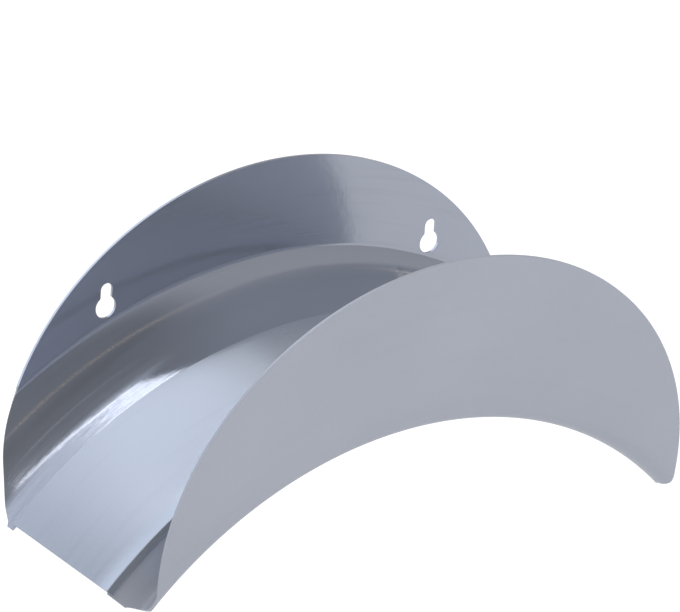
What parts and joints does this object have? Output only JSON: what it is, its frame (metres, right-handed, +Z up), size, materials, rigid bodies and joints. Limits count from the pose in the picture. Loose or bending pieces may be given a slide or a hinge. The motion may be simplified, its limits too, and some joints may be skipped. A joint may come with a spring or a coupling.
{
  "type": "wall hose holder",
  "caption": "Arched sheet-metal saddle between a keyholed half-moon wall plate and a flared front plate, made to hang a coiled hose on a wall.",
  "frame": {"origin": "on the wall face, midway between the two keyholes' entry holes", "axes": "+X to the right across the holder, +Y into the wall, +Z up; the saddle's arch axis runs along Y below the origin"},
  "size_m": [0.285, 0.1229, 0.1301],
  "materials": {
    "wall_plate_enamel": "gloss",
    "saddle_enamel": "gloss",
    "front_plate_enamel": "satin"
  },
  "bodies": {
    "root": {"back_plate": "wall_plate_enamel", "saddle": "saddle_enamel", "front_plate": "front_plate_enamel"}
  },
  "joints": []
}
